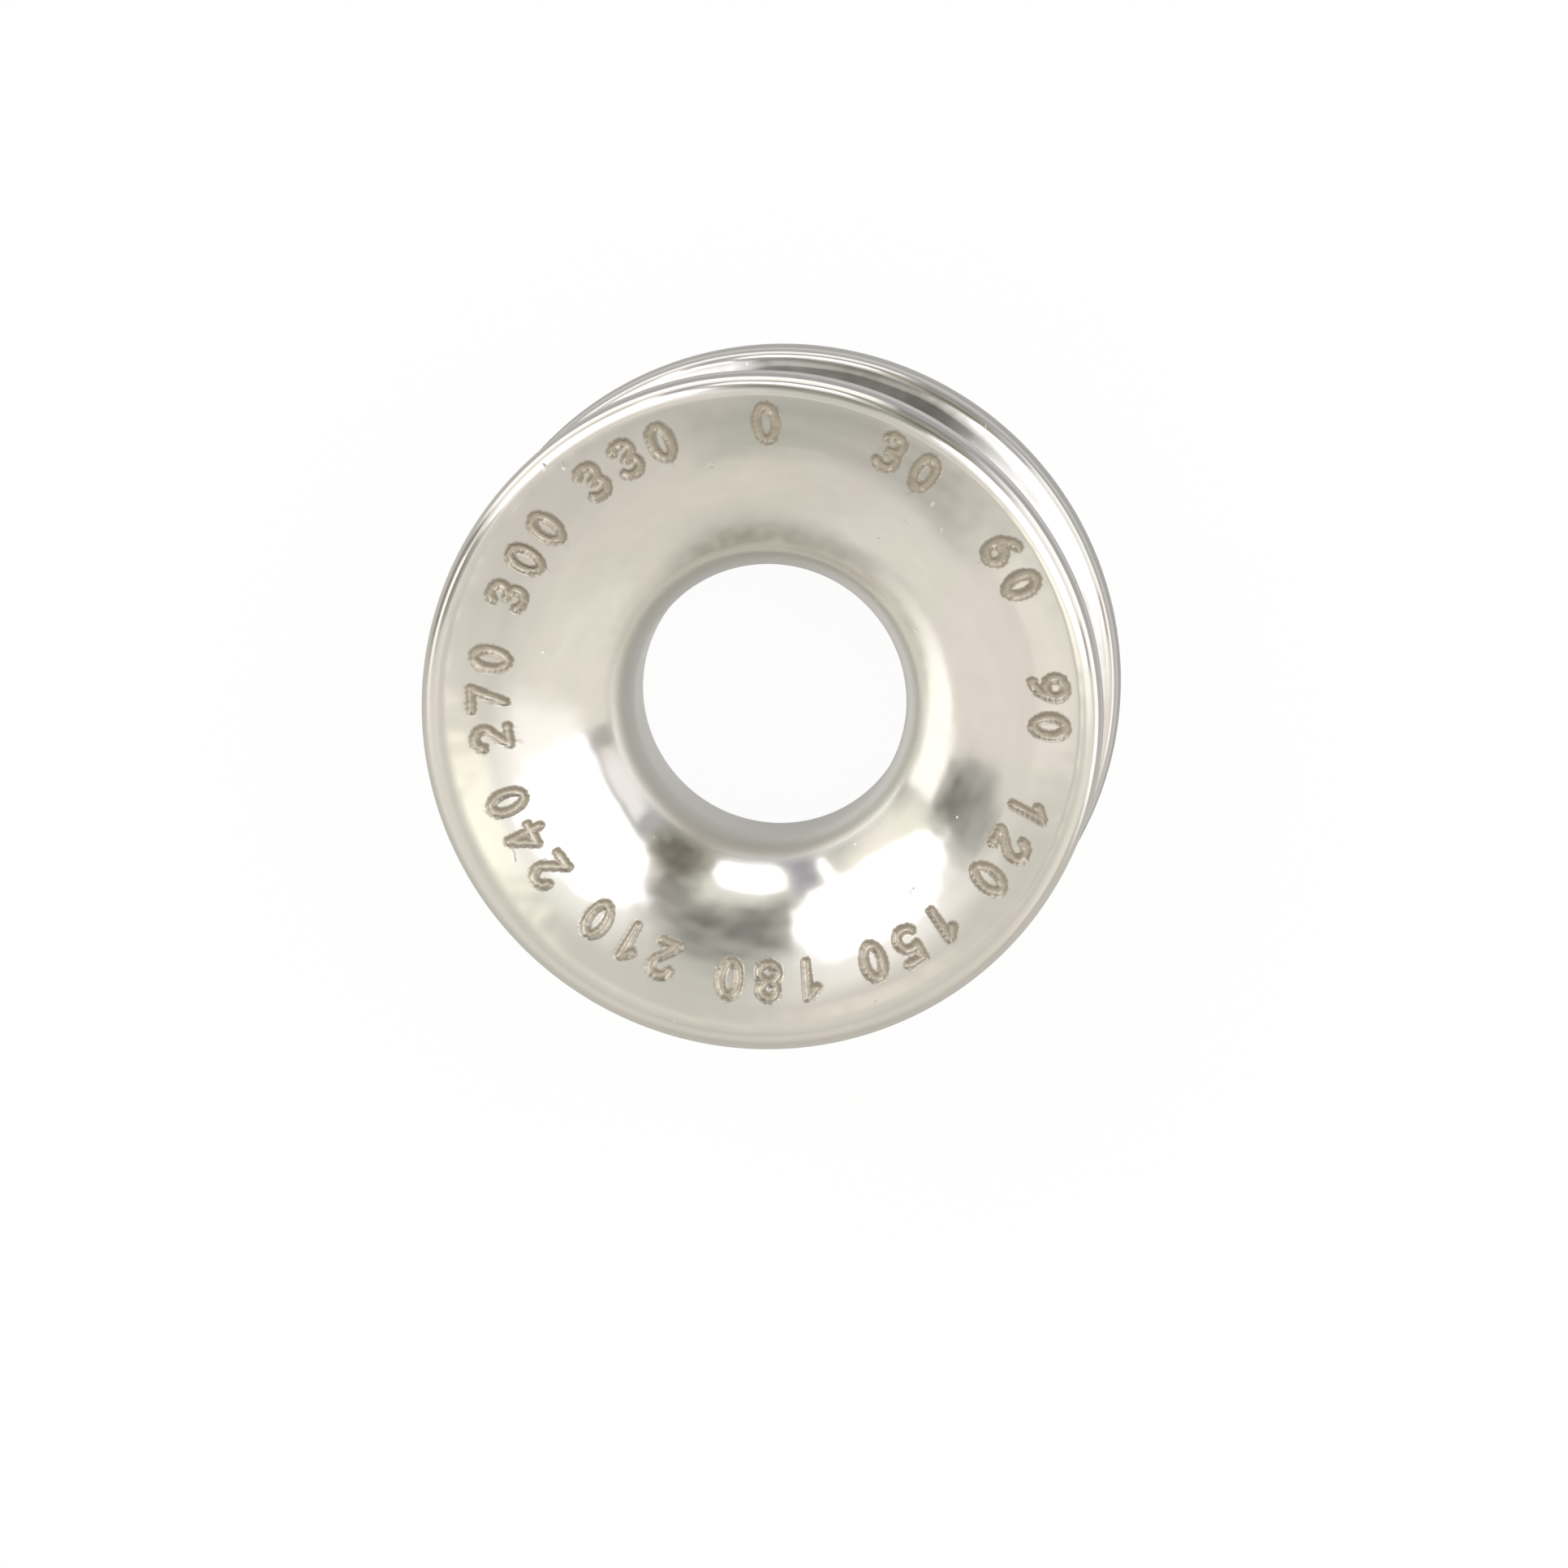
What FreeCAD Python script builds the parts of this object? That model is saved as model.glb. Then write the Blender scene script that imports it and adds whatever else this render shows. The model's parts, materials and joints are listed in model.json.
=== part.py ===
"""Low friction ring: one turned ring of polished stainless steel.

A line runs through the flared bore, and a thinner line is seized round the groove in the rim.
Millimetres and degrees. +Z is the axis of the bore. The origin is the middle of the lower face,
which is what the ring lies on.
"""
import FreeCAD, Part
import math
import os

import Sketcher
from FreeCAD import Vector

# Driving dimensions, each with what it measures on the ring.
SIZES = [
    ("outer_diameter", 12.7, "over the rims of the two flanges"),
    ("ring_width", 5.2, "from face to face, along the bore"),
    ("bore_diameter", 5.1, "narrowest part of the bore, for the line that runs through"),
    ("throat_land", 1.1, "straight length in the middle of the bore"),
    ("face_band", 0.45, "flat band that the ring lies on, in from the rim, with its rounding"),
    ("rim_slope", 4.0, "slope of the face's wide curve where it leaves the band"),
    ("blend_angle", 40.0, "slope at which the wide curve of the face meets the throat curve"),
    ("groove_width", 3.2, "clear width of the rim groove, for the seizing line"),
    ("groove_wall", 0.5, "straight part of the groove's sides, above its round bottom"),
    ("rim_round", 0.36, "radius on the four edges of the rims"),
]
MAX_ROUND_SHARE = 0.48      # most of a wall that the rounding of one of its edges may take
TOUCH = 1e-6                # two lengths this close are the same
ORIGIN = -1                 # a sketch's own origin point and horizontal axis
START, END, CENTRE = 1, 2, 3    # the points of a line or an arc in a sketch


def make_sheet(doc):
    """Write the driving dimensions, one row each: name, value, what it measures."""
    sheet = doc.addObject("Spreadsheet::Sheet", "Sizes")
    for row, (alias, value, meaning) in enumerate(SIZES, start=1):
        sheet.set(f"A{row}", alias)
        sheet.set(f"B{row}", str(value))
        sheet.set(f"C{row}", meaning)
        sheet.setAlias(f"B{row}", alias)
    doc.recompute()
    return sheet


def new_half_section(body, name):
    """A sketch on the body's XZ plane: its x is the radius, its y the height."""
    sketch = body.newObject("Sketcher::SketchObject", name)
    plane = next(f for f in body.Origin.OriginFeatures if f.Role == "XZ_Plane")
    sketch.AttachmentSupport = [(plane, "")]
    sketch.MapMode = "FlatFace"
    return sketch


def bind(sketch, name, expression, *constraint):
    """Add a constraint that carries a size, name it and tie it to the sheet."""
    index = sketch.addConstraint(Sketcher.Constraint(*constraint))
    sketch.renameConstraint(index, name)
    sketch.setExpression(f"Constraints.{name}", expression)


def line(x0, y0, x1, y1):
    return Part.LineSegment(Vector(x0, y0, 0), Vector(x1, y1, 0))


def arc(cx, cy, radius, start_deg, end_deg):
    circle = Part.Circle(Vector(cx, cy, 0), Vector(0, 0, 1), radius)
    return Part.ArcOfCircle(circle, math.radians(start_deg), math.radians(end_deg))


def flare_radii(sheet):
    """Radii of the face curve and the throat curve of one flare.

    The flare goes in from the face band by `reach` and down to the throat land by `drop`. The face
    curve turns it from the rim slope to the blend angle, and the throat curve from there to upright.
    """
    reach = (sheet.outer_diameter - sheet.bore_diameter) / 2 - sheet.face_band
    drop = (sheet.ring_width - sheet.throat_land) / 2
    slope = math.radians(sheet.rim_slope)
    blend = math.radians(sheet.blend_angle)
    face_in = math.sin(blend) - math.sin(slope)
    face_down = math.cos(slope) - math.cos(blend)
    throat_in = 1 - math.sin(blend)
    throat_down = math.cos(blend)
    share = face_in * throat_down - face_down * throat_in
    face_radius = (throat_down * reach - throat_in * drop) / share
    throat_radius = (face_in * drop - face_down * reach) / share
    return face_radius, throat_radius


def sketch_blank(body, sheet):
    """Half section of the ring before its groove is cut: throat, two flares, two bands, rim."""
    bore = sheet.bore_diameter / 2
    rim = sheet.outer_diameter / 2
    width = sheet.ring_width
    band = rim - sheet.face_band
    land_low = (width - sheet.throat_land) / 2
    land_high = width - land_low
    face_radius, throat_radius = flare_radii(sheet)
    start = 90 + sheet.rim_slope
    joint = 90 + sheet.blend_angle
    curve_x = bore + throat_radius
    face_x = band + face_radius * math.sin(math.radians(sheet.rim_slope))
    face_low = face_radius * math.cos(math.radians(sheet.rim_slope))

    sketch = new_half_section(body, "Blank_section")
    land, high_throat, high_face, high_band, rim_line, low_band, low_face, low_throat = range(8)
    sketch.addGeometry([
        line(bore, land_low, bore, land_high),
        arc(curve_x, land_high, throat_radius, joint, 180),
        arc(face_x, width - face_low, face_radius, start, joint),
        line(band, width, rim, width),
        line(rim, width, rim, 0),
        line(rim, 0, band, 0),
        arc(face_x, face_low, face_radius, 360 - joint, 360 - start),
        arc(curve_x, land_low, throat_radius, 180, 360 - joint),
    ], False)

    for first, first_end, second, second_end in (
        (land, END, high_throat, END),
        (high_throat, START, high_face, END),
        (low_face, START, low_throat, END),
        (low_throat, START, land, START),
    ):
        sketch.addConstraint(Sketcher.Constraint("Tangent", first, first_end, second, second_end))
    sketch.addConstraint([
        Sketcher.Constraint("Coincident", high_face, START, high_band, START),
        Sketcher.Constraint("Coincident", low_band, END, low_face, END),
        Sketcher.Constraint("Coincident", high_band, END, rim_line, START),
        Sketcher.Constraint("Coincident", rim_line, END, low_band, START),
        Sketcher.Constraint("Vertical", land),
        Sketcher.Constraint("Vertical", rim_line),
        Sketcher.Constraint("Horizontal", high_band),
        Sketcher.Constraint("Horizontal", low_band),
        Sketcher.Constraint("PointOnObject", rim_line, END, ORIGIN),
    ])

    bind(sketch, "bore_radius", "Sizes.bore_diameter / 2",
         "DistanceX", ORIGIN, START, land, START, bore)
    bind(sketch, "rim_radius", "Sizes.outer_diameter / 2",
         "DistanceX", ORIGIN, START, rim_line, END, rim)
    bind(sketch, "width", "Sizes.ring_width", "DistanceY", rim_line, END, rim_line, START, width)
    bind(sketch, "land_height", "(Sizes.ring_width - Sizes.throat_land) / 2",
         "DistanceY", ORIGIN, START, land, START, land_low)
    bind(sketch, "land_length", "Sizes.throat_land", "DistanceY", land, START, land, END,
         sheet.throat_land)
    for side, band_line, face_arc, throat_arc in (
        ("high", high_band, high_face, high_throat),
        ("low", low_band, low_face, low_throat),
    ):
        bind(sketch, f"{side}_band", "Sizes.face_band", "Distance", band_line, sheet.face_band)
        bind(sketch, f"{side}_face_turn", "Sizes.blend_angle - Sizes.rim_slope", "Angle", face_arc,
             math.radians(sheet.blend_angle - sheet.rim_slope))
        bind(sketch, f"{side}_throat_turn", "90 - Sizes.blend_angle", "Angle", throat_arc,
             math.radians(90 - sheet.blend_angle))
    return sketch


def sketch_groove(body, sheet):
    """Half section of the groove: a round bottom between straight sides, open past the rim."""
    radius = sheet.groove_width / 2
    middle = sheet.ring_width / 2
    rim = sheet.outer_diameter / 2
    centre_x = rim - sheet.groove_wall
    mouth = rim + sheet.rim_round

    sketch = new_half_section(body, "Groove_section")
    bottom, low_side, mouth_line, high_side = range(4)
    sketch.addGeometry([
        arc(centre_x, middle, radius, 90, 270),
        line(centre_x, middle - radius, mouth, middle - radius),
        line(mouth, middle - radius, mouth, middle + radius),
        line(mouth, middle + radius, centre_x, middle + radius),
    ], False)
    sketch.addConstraint([
        Sketcher.Constraint("Tangent", bottom, END, low_side, START),
        Sketcher.Constraint("Tangent", high_side, END, bottom, START),
        Sketcher.Constraint("Coincident", low_side, END, mouth_line, START),
        Sketcher.Constraint("Coincident", mouth_line, END, high_side, START),
        Sketcher.Constraint("Horizontal", low_side),
        Sketcher.Constraint("Horizontal", high_side),
        Sketcher.Constraint("Vertical", mouth_line),
    ])
    bind(sketch, "groove_middle", "Sizes.ring_width / 2",
         "DistanceY", ORIGIN, START, bottom, CENTRE, middle)
    bind(sketch, "bottom_centre", "Sizes.outer_diameter / 2 - Sizes.groove_wall",
         "DistanceX", ORIGIN, START, bottom, CENTRE, centre_x)
    bind(sketch, "mouth_radius", "Sizes.outer_diameter / 2 + Sizes.rim_round",
         "DistanceX", ORIGIN, START, mouth_line, START, mouth)
    bind(sketch, "groove_width", "Sizes.groove_width", "DistanceY", mouth_line, START, mouth_line, END,
         sheet.groove_width)
    return sketch


def turn(body, kind, name, sketch):
    """Turn a half section once round the bore's axis, as metal added or as metal cut away."""
    feature = body.newObject(kind, name)
    feature.Profile = sketch
    feature.ReferenceAxis = (sketch, ["V_Axis"])
    feature.Angle = 360.0
    sketch.Visibility = False
    return feature


def rim_edges(shape, rim):
    """Names of the circles that lie on the rim: two at the faces, two at the groove's mouth."""
    names = []
    for index, edge in enumerate(shape.Edges, start=1):
        if isinstance(edge.Curve, Part.Circle) and abs(edge.Curve.Radius - rim) < TOUCH:
            names.append(f"Edge{index}")
    return names


def round_rims(body, sheet, base):
    """Round the four rim edges, by no more than the flange's tip and the face band have room for."""
    fillet = body.newObject("PartDesign::Fillet", "Rim_rounds")
    fillet.Base = (base, rim_edges(base.Shape, sheet.outer_diameter / 2))
    flange_tip = "(Sizes.ring_width - Sizes.groove_width) / 2"
    fillet.setExpression(
        "Radius",
        f"min(Sizes.rim_round; {MAX_ROUND_SHARE} * {flange_tip}; {2 * MAX_ROUND_SHARE} * Sizes.face_band)",
    )
    return fillet


def make_ring(doc, sheet):
    """The ring: a turned blank, the groove for the seizing line, the rounded rims."""
    body = doc.addObject("PartDesign::Body", "Ring")
    body.Label = "ring"
    turn(body, "PartDesign::Revolution", "Turned_blank", sketch_blank(body, sheet))
    groove = turn(body, "PartDesign::Groove", "Line_groove", sketch_groove(body, sheet))
    doc.recompute()
    round_rims(body, sheet, groove)
    return body


def check_document(doc):
    """Stop if a feature failed, or if a sketch is left loose."""
    for item in doc.Objects:
        if "Invalid" in item.State or "Error" in item.State:
            raise RuntimeError(f"{item.Name} failed: {item.State}")
        if item.TypeId == "Sketcher::SketchObject" and item.solve() != 0:
            raise RuntimeError(f"{item.Name} has constraints that disagree")


def export(part):
    """Write one sub-part to parts/, named by its label, after a look at its solid."""
    shape = part.Shape
    if shape.isNull() or not shape.isValid() or len(shape.Solids) != 1:
        raise RuntimeError(f"{part.Label} is not one sound solid")
    shape.exportStep(os.path.join("parts", part.Label + ".step"))
    box = shape.optimalBoundingBox(False, False)
    print(f"{part.Label}: {box.XLength:.3f} x {box.YLength:.3f} x {box.ZLength:.3f} mm, "
          f"{shape.Volume:.2f} mm3")


doc = FreeCAD.newDocument("LowFrictionRing")
sizes = make_sheet(doc)
ring = make_ring(doc, sizes)
doc.recompute()
check_document(doc)
face_curve, throat_curve = flare_radii(sizes)
print(f"flare: face curve radius {face_curve:.3f}, throat curve radius {throat_curve:.3f} mm")
os.makedirs("parts", exist_ok=True)
export(ring)
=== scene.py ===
# %% [markdown]
# A low friction ring is one small turned ring of stainless steel. A line slides through its flared
# bore, and a thinner line is seized round the groove in its rim. This lesson takes the ring's size
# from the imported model, builds its skin as one surface, cuts a row of plain dial numbers into the
# upper face, and gives the steel its tumbled polish.

# %% Load the fixed frame
import json
import math

import bpy
import numpy as np
from mathutils import Matrix, Vector


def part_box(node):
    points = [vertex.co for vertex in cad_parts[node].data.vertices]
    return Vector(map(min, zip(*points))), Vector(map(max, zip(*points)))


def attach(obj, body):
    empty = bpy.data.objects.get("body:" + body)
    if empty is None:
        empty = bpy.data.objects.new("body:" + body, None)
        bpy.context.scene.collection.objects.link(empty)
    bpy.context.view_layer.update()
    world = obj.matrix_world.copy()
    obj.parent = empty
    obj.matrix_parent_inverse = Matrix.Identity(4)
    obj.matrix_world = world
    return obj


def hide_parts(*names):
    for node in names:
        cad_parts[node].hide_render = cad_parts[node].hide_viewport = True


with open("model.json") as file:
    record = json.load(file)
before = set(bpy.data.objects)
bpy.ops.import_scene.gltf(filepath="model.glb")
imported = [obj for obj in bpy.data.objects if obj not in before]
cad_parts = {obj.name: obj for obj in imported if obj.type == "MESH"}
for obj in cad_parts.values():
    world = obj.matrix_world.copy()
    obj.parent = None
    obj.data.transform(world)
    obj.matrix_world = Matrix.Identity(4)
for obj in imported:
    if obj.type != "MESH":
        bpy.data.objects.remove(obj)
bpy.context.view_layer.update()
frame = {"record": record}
ring_low, ring_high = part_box("ring")
print("the ring fills", [round(1000 * s, 3) for s in ring_high - ring_low], "mm")

# %% [markdown]
# The ring is a solid of revolution, so a half section says all about its form. The outer radius,
# the width and the bore are read from the frame. The rest of the section is a few sizes of its own:
# a flat band by the rim that the ring lies on, the slopes where the wide curve of the face leaves
# that band and where it meets the tighter curve of the throat, the groove, and the rounding of the
# rim's edges.

# %% Sizes of the section, in metres
MM = 0.001
bore_mount = next(m for m in frame["record"]["mounts"] if m["name"] == "bore")
RIM = (ring_high.x - ring_low.x) / 2
WIDTH = ring_high.z
BORE = bore_mount["dims"]["r_mm"] * MM
THROAT_LAND = bore_mount["dims"]["length_mm"] * MM
FACE_BAND = 0.45 * MM
RIM_SLOPE = math.radians(4.0)
BLEND_ANGLE = math.radians(40.0)
GROOVE_RADIUS = 1.6 * MM
GROOVE_WALL = 0.5 * MM
RIM_ROUND = 0.36 * MM

reach = RIM - BORE - FACE_BAND
drop = (WIDTH - THROAT_LAND) / 2
face_in = math.sin(BLEND_ANGLE) - math.sin(RIM_SLOPE)
face_down = math.cos(RIM_SLOPE) - math.cos(BLEND_ANGLE)
throat_in = 1 - math.sin(BLEND_ANGLE)
throat_down = math.cos(BLEND_ANGLE)
share = face_in * throat_down - face_down * throat_in
FACE_CURVE = (throat_down * reach - throat_in * drop) / share
THROAT_CURVE = (face_in * drop - face_down * reach) / share
BAND_START = RIM - FACE_BAND
FACE_X = BAND_START + FACE_CURVE * math.sin(RIM_SLOPE)
FACE_Z = WIDTH - FACE_CURVE * math.cos(RIM_SLOPE)
BLEND_RADIUS = FACE_X - FACE_CURVE * math.sin(BLEND_ANGLE)
print(f"face curve {FACE_CURVE / MM:.3f} mm, throat curve {THROAT_CURVE / MM:.3f} mm,",
      f"meeting {BLEND_RADIUS / MM:.3f} mm from the axis")

# %% [markdown]
# A lathe would make this by spinning the section. Here the skin is a grid instead: one parameter
# runs along the section and one round the axis. That leaves room for a second, finer grid where the
# numbers are cut, with the same surface under both. The wide curve of the face is an arc, so its
# height at a radius is a formula. Tumbling dishes the flat band too, by a few thousandths of a
# millimetre, so here the arc runs on to the rim's rounding, and the band mirrors as the face does.


# %% The upper face as a height over its radius
BAND_DISH = FACE_Z + math.sqrt(FACE_CURVE**2 - (FACE_X - RIM + RIM_ROUND) ** 2) - WIDTH


def face_height(radius):
    """Height of the upper face: an arc of FACE_CURVE that falls from the rim towards the bore.

    It is FACE_Z - BAND_DISH + sqrt(FACE_CURVE^2 - (FACE_X - radius)^2).
    """
    return FACE_Z - BAND_DISH + np.sqrt(FACE_CURVE**2 - (FACE_X - radius) ** 2)


def face_normal(radius, angle):
    """Unit normal of the upper face: it leans towards the axis by the slope of the arc."""
    lean = (FACE_X - radius) / FACE_CURVE
    upright = np.sqrt(1 - lean**2)
    return np.stack([-lean * np.cos(angle), -lean * np.sin(angle), upright], axis=-1)


def arc(centre_r, centre_z, radius, start, end, steps):
    """Points (r, z) on an arc: the centre plus radius times (cos a, sin a), a even in degrees."""
    a = np.radians(np.linspace(start, end, steps + 1))
    return np.column_stack([centre_r + radius * np.cos(a), centre_z + radius * np.sin(a)])


print(f"the band is dished by up to {1e6 * BAND_DISH:.1f} micrometres")

# %% [markdown]
# The rest of the section is arcs joined by short straight pieces. It starts where the face's arc
# meets the throat's and goes down the bore, out along the lower face, up over the lower rim, round
# the groove and over the upper rim. A flat piece between two small arcs would shade like a cushion,
# so each has an extra row close to either end.

# %% Everything but the upper face, as rows of the section
JOINT = 90 + math.degrees(BLEND_ANGLE)
BAND_JOINT = 90 + math.degrees(RIM_SLOPE)
HOLD = 0.03 * MM
middle = WIDTH / 2
throat_x = BORE + THROAT_CURVE
round_x = RIM - RIM_ROUND
low_side = middle - GROOVE_RADIUS
high_side = middle + GROOVE_RADIUS
bottom_x = RIM - GROOVE_WALL


def held_line(start_r, start_z, end_r, end_z):
    """The inner rows of a straight piece: one near each end, to keep the piece's shading flat."""
    start, end = np.array([start_r, start_z]), np.array([end_r, end_z])
    along = (end - start) / np.linalg.norm(end - start)
    return np.array([start + HOLD * along, end - HOLD * along])


section = np.vstack([
    arc(throat_x, middle + THROAT_LAND / 2, THROAT_CURVE, JOINT, 180, 14),
    held_line(BORE, middle + THROAT_LAND / 2, BORE, middle - THROAT_LAND / 2),
    arc(throat_x, middle - THROAT_LAND / 2, THROAT_CURVE, 180, 360 - JOINT, 14),
    arc(FACE_X, WIDTH - FACE_Z, FACE_CURVE, 360 - JOINT, 360 - BAND_JOINT, 12)[1:],
    held_line(BAND_START, 0, round_x, 0),
    arc(round_x, RIM_ROUND, RIM_ROUND, -90, 0, 8),
    held_line(RIM, RIM_ROUND, RIM, low_side - RIM_ROUND),
    arc(round_x, low_side - RIM_ROUND, RIM_ROUND, 0, 90, 8),
    held_line(round_x, low_side, bottom_x, low_side),
    arc(bottom_x, middle, GROOVE_RADIUS, 270, 90, 26),
    held_line(bottom_x, high_side, round_x, high_side),
    arc(round_x, high_side + RIM_ROUND, RIM_ROUND, -90, 0, 8),
    held_line(RIM, high_side + RIM_ROUND, RIM, WIDTH - RIM_ROUND),
    arc(round_x, WIDTH - RIM_ROUND, RIM_ROUND, 0, 90, 8),
])
print(len(section), "rows run round the section outside the upper face")

# %% [markdown]
# The face carries a ring of engraved marks, and here they are the plain numbers of a dial: degrees
# in steps of thirty, read clockwise with their tops outwards. On the real ring the marks sit a
# little off centre, as they do when a small part isn't clamped quite true, so their circle has a
# centre of its own.

# %% Where the numbers stand
GLYPH_HEIGHT = 0.62 * MM
GLYPH_WIDTH = 0.40 * MM
GLYPH_PITCH = 0.74 * MM
STROKE_RADIUS = 0.095 * MM
STROKE_DEPTH = 0.036 * MM
LIP_HEIGHT = 0.0003 * MM
MARK_CENTRE = np.array([0.155, 0.21]) * MM
MARK_BASE = 4.92 * MM
MARK_TOP = MARK_BASE + GLYPH_HEIGHT
MARK_MARGIN = STROKE_RADIUS + 0.04 * MM
DEGREES_APART = 30


def mark_circle(radius, angle):
    """Distance from the axis, at an angle, of a circle of this radius round MARK_CENTRE."""
    along = MARK_CENTRE[0] * np.cos(angle) + MARK_CENTRE[1] * np.sin(angle)
    return along + np.sqrt(radius**2 - MARK_CENTRE @ MARK_CENTRE + along**2)


print("the marks reach", round((MARK_TOP + STROKE_RADIUS) / MM, 2), "mm from their own centre")

# %% [markdown]
# A small engraving cutter draws each digit with one round-ended stroke. So a digit is a few paths,
# straight or bowed, in a box one unit high. A point of the surface sinks by how near it lies to the
# closest path, which gives round ends and clean joints without any boolean.

# %% The digits as paths of a cutter
def bow(x, y, half_width, half_height, start, end, steps=14):
    """A path along an ellipse round (x, y), from one angle to another in degrees."""
    a = np.radians(np.linspace(start, end, steps + 1))
    return np.column_stack([x + half_width * np.cos(a), y + half_height * np.sin(a)])


def path(*points):
    """A path of straight pieces through these points."""
    return np.array(points, float)


six = [bow(0.30, 0.30, 0.29, 0.30, 0, 360), bow(0.60, 0.30, 0.59, 0.70, 100, 180)]
DIGITS = {
    "0": [bow(0.30, 0.50, 0.28, 0.50, 0, 360, 22)],
    "1": [path((0.10, 0.76), (0.34, 1.00), (0.34, 0.00))],
    "2": [np.vstack([bow(0.30, 0.71, 0.28, 0.29, 168, -28), path((0.02, 0.00), (0.60, 0.00))])],
    "3": [bow(0.27, 0.75, 0.27, 0.25, 150, -90), bow(0.27, 0.25, 0.31, 0.25, 90, -150)],
    "4": [path((0.46, 0.00), (0.46, 1.00), (0.00, 0.30), (0.64, 0.30))],
    "5": [np.vstack([path((0.56, 1.00), (0.10, 1.00)), bow(0.26, 0.31, 0.32, 0.31, 125, -145)])],
    "6": six,
    "7": [path((0.00, 1.00), (0.60, 1.00), (0.20, 0.00))],
    "8": [bow(0.30, 0.75, 0.23, 0.25, 0, 360), bow(0.30, 0.25, 0.30, 0.25, 0, 360)],
    "9": [np.array([0.60, 1.00]) - points for points in six],
}


def distance_to_path(x, y, points):
    """Distance of each (x, y) to the nearest of a path's straight pieces, all at once."""
    start, end = points[:-1], points[1:]
    run = end - start
    to_x = x[..., None] - start[:, 0]
    to_y = y[..., None] - start[:, 1]
    along = (to_x * run[:, 0] + to_y * run[:, 1]) / (run**2).sum(axis=1)
    along = np.clip(along, 0, 1)
    return np.hypot(to_x - along * run[:, 0], to_y - along * run[:, 1]).min(axis=-1)


print(len(DIGITS), "digits, drawn with", sum(len(paths) for paths in DIGITS.values()), "paths")

# %% [markdown]
# The face's fine grid follows the circle of the marks, with rows a fortieth of a millimetre apart.
# Each number claims only the columns near it. The hand that set the cutter wasn't perfect either:
# every digit gets a little shift and lean, always the same ones, from a seeded generator.

# %% How near each point of the fine grid lies to a stroke
FINE_COLUMNS = 1440
FINE_ROWS = 42
SHAKE = 0.02 * MM
LEAN_SHAKE = 3.0

fine_angle = np.arange(FINE_COLUMNS) * 2 * math.pi / FINE_COLUMNS
mark_rows = np.linspace(MARK_BASE - MARK_MARGIN, MARK_TOP + MARK_MARGIN, FINE_ROWS)
fine_r = mark_circle(mark_rows[:, None], fine_angle[None, :])
fine_x = fine_r * np.cos(fine_angle)
fine_y = fine_r * np.sin(fine_angle)
mark_angle = np.arctan2(fine_y - MARK_CENTRE[1], fine_x - MARK_CENTRE[0])
mark_radius = np.hypot(fine_y - MARK_CENTRE[1], fine_x - MARK_CENTRE[0])
stroke_distance = np.full(fine_r.shape, 1.0)
arc_radius = (MARK_BASE + MARK_TOP) / 2
shaker = np.random.default_rng(30)


def cut_digit(digit, angle):
    """Note the distance to one digit's paths, for the columns within a digit's height of it."""
    shift_x, shift_y = shaker.uniform(-SHAKE, SHAKE, 2)
    lean = math.tan(math.radians(shaker.uniform(-LEAN_SHAKE, LEAN_SHAKE)))
    turn = (angle - mark_angle + math.pi) % (2 * math.pi) - math.pi
    near = np.abs(turn[0]) * arc_radius < GLYPH_HEIGHT
    y = (mark_radius[:, near] - MARK_BASE - shift_y) / GLYPH_HEIGHT
    x = (turn[:, near] * arc_radius - shift_x + GLYPH_WIDTH / 2) / GLYPH_HEIGHT - lean * (y - 0.5)
    for points in DIGITS[digit]:
        away = distance_to_path(x, y, points) * GLYPH_HEIGHT
        stroke_distance[:, near] = np.minimum(stroke_distance[:, near], away)


for degrees in range(0, 360, DEGREES_APART):
    number = str(degrees)
    for place, digit in enumerate(number):
        step = (place - (len(number) - 1) / 2) * GLYPH_PITCH / arc_radius
        cut_digit(digit, math.radians(90 - degrees) - step)
covered = float((stroke_distance < STROKE_RADIUS).mean())
print("numbers cover", round(100 * covered), "% of their band")

# %% [markdown]
# The cutter leaves a channel with a nearly level floor and rounded shoulders, and pushes up a small
# lip beside it, which the tumbling then smooths. It cuts deeper in some places than in others, and
# its edges waver. Here the distance to the nearest stroke counts in radii of the stroke: the floor
# ends at one share of it and the shoulder at another, and the lip stands just past that. The share of
# the full depth is kept on each point too, so that the material can make the floor duller and paint
# shade on the walls with a darker colour.

# %% Sink the strokes into the face
def smooth_step(low, high, value):
    """0 below low, 1 above high, and 3t^2 - 2t^3 between."""
    t = np.clip((value - low) / (high - low), 0, 1)
    return t * t * (3 - 2 * t)


def wavering(angle, waves, size):
    """A sum of sines round the ring, each with a seeded phase, that stays within about size."""
    phases = shaker.uniform(0, 2 * math.pi, len(waves))
    return size * sum(np.sin(n * angle + p) for n, p in zip(waves, phases)) / len(waves) ** 0.5


PRESSURE_SHARE = 0.25
EDGE_SHARE, EDGE_SHARE_ACROSS = 0.10, 0.06
TURNS_PER_MM = 12
FLOOR_END, SHOULDER_END = 0.12, 1.1
LIP_PLACE, LIP_SPREAD = 1.2, 0.14
DULL_END, BRIGHT_START = 0.98, 1.38

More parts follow.
